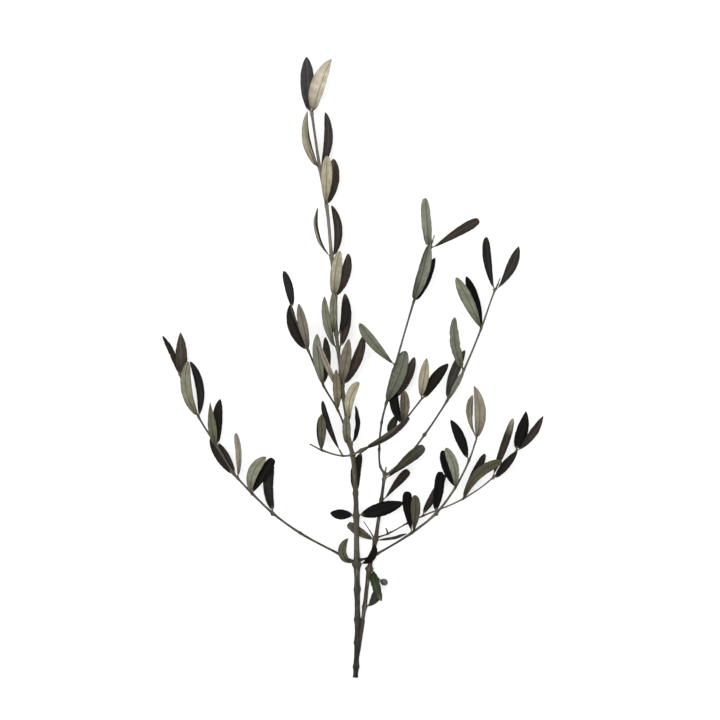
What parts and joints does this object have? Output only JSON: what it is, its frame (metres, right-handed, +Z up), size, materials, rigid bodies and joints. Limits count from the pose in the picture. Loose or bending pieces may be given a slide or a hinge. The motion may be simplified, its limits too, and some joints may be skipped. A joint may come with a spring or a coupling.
{
  "type": "olive branch with fruit",
  "caption": "Cut olive branch lying flat: forked woody stem, slender side shoots with opposite narrow leaves, dark above and pale below, and one small unripe olive.",
  "frame": {"origin": "under the middle of the branch, on the surface it lies on", "axes": "+Y from the cut end to the tip of the main stem, +Z up from the surface, +X to the right seen from above"},
  "size_m": [0.4202, 0.6848, 0.0422],
  "materials": {
    "bark": "grey-olive bark, matt, with small raised pores",
    "twig_bark": "smooth green-grey young bark, matt",
    "leaf_charcoal": "dark dried upper side with a low sheen",
    "leaf_sage": "pale sage underside, matt and scaly, dark upper side",
    "leaf_greige": "pale grey-beige underside, matt and scaly, dark upper side",
    "leaf_green": "dull deep green upper side with a low sheen",
    "leaf_brown": "withered brown, matt",
    "olive_skin": "unripe grey-green skin with a waxy bloom"
  },
  "bodies": {
    "root": {"main_stem": "bark", "main_stem_leaves_1": "leaf_greige", "main_stem_leaves_2": "leaf_charcoal", "main_stem_leaves_3": "leaf_sage", "main_stem_leaf_4": "leaf_sage", "main_stem_leaves_5": "leaf_greige", "main_stem_leaves_6": "leaf_sage", "main_stem_leaves_7": "leaf_sage", "main_stem_leaves_8": "leaf_greige", "main_stem_leaves_9": "leaf_greige", "main_stem_leaves_10": "leaf_greige", "main_stem_leaves_11": "leaf_greige", "main_stem_leaves_12": "leaf_greige", "second_stem": "twig_bark", "second_stem_leaf_1": "leaf_green", "second_stem_leaf_2": "leaf_green", "second_stem_leaves_3": "leaf_sage", "second_stem_leaf_4": "leaf_green", "second_stem_leaf_5": "leaf_green", "second_stem_leaves_6": "leaf_sage", "second_stem_leaf_7": "leaf_sage", "second_stem_leaves_8": "leaf_sage", "second_stem_leaves_9": "leaf_sage", "left_branch": "twig_bark", "left_branch_leaf_1": "leaf_charcoal", "left_branch_leaves_2": "leaf_sage", "left_branch_leaf_3": "leaf_greige", "left_branch_leaves_4": "leaf_charcoal", "left_branch_leaves_5": "leaf_sage", "left_branch_leaves_6": "leaf_sage", "left_branch_leaves_7": "leaf_brown", "left_shoot": "twig_bark", "left_shoot_leaves_1": "leaf_greige", "left_shoot_leaves_2": "leaf_sage", "left_shoot_leaves_3": "leaf_brown", "left_shoot_leaf_4": "leaf_charcoal", "middle_shoots": "twig_bark", "middle_shoots_leaves_1": "leaf_greige", "middle_shoots_leaf_2": "leaf_charcoal", "middle_shoots_leaf_3": "leaf_sage", "middle_shoots_leaves_4": "leaf_greige", "middle_shoots_leaves_5": "leaf_greige", "right_branch": "twig_bark", "right_branch_leaves_1": "leaf_greige", "right_branch_leaf_2": "leaf_charcoal", "right_branch_leaves_3": "leaf_sage", "right_branch_leaf_4": "leaf_charcoal", "right_branch_leaves_5": "leaf_greige", "thin_twig": "twig_bark", "thin_twig_leaf_1": "leaf_charcoal", "thin_twig_leaves_2": "leaf_sage", "thin_twig_leaves_3": "leaf_charcoal", "thin_twig_leaves_4": "leaf_charcoal", "long_right_branch": "twig_bark", "long_right_branch_leaves_1": "leaf_sage", "long_right_branch_leaf_2": "leaf_sage", "long_right_branch_leaves_3": "leaf_sage", "long_right_branch_leaves_4": "leaf_charcoal", "olive_stalk": "twig_bark", "olive": "olive_skin"}
  },
  "joints": []
}
